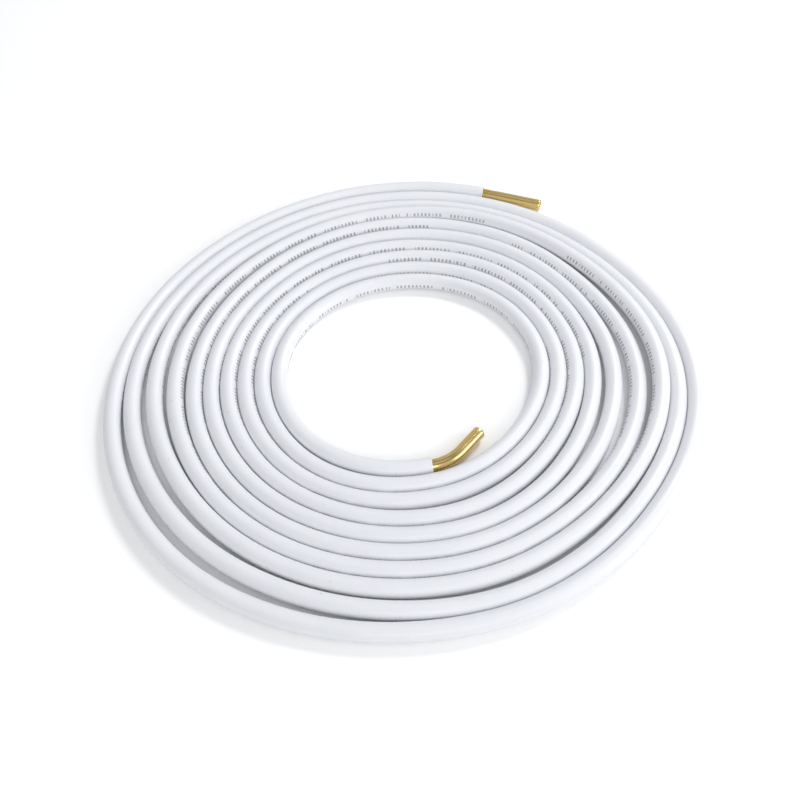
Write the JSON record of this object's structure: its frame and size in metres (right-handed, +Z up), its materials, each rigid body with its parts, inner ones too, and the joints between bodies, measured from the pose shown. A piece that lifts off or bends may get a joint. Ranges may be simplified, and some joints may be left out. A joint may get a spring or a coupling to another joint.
{
  "type": "coil of gas tubing",
  "caption": "Flat coil of white plastic-coated metal gas tube in a single layer, with bare brass-coloured ends in the eye and at the rim.",
  "frame": {"origin": "on the floor at the axis of the coil, the middle of its eye", "axes": "+Z up along the coil's axis, +X to the right and +Y away from the side where the inner end lies"},
  "size_m": [0.2821, 0.2914, 0.0104],
  "materials": {
    "jacket": "satin white extruded plastic, faintly mottled and scuffed",
    "tube": "bright drawn metal, gold coloured"
  },
  "bodies": {
    "root": {"coiled_tubing": "jacket", "inner_bare_end": "tube", "outer_bare_end": "tube"}
  },
  "joints": []
}
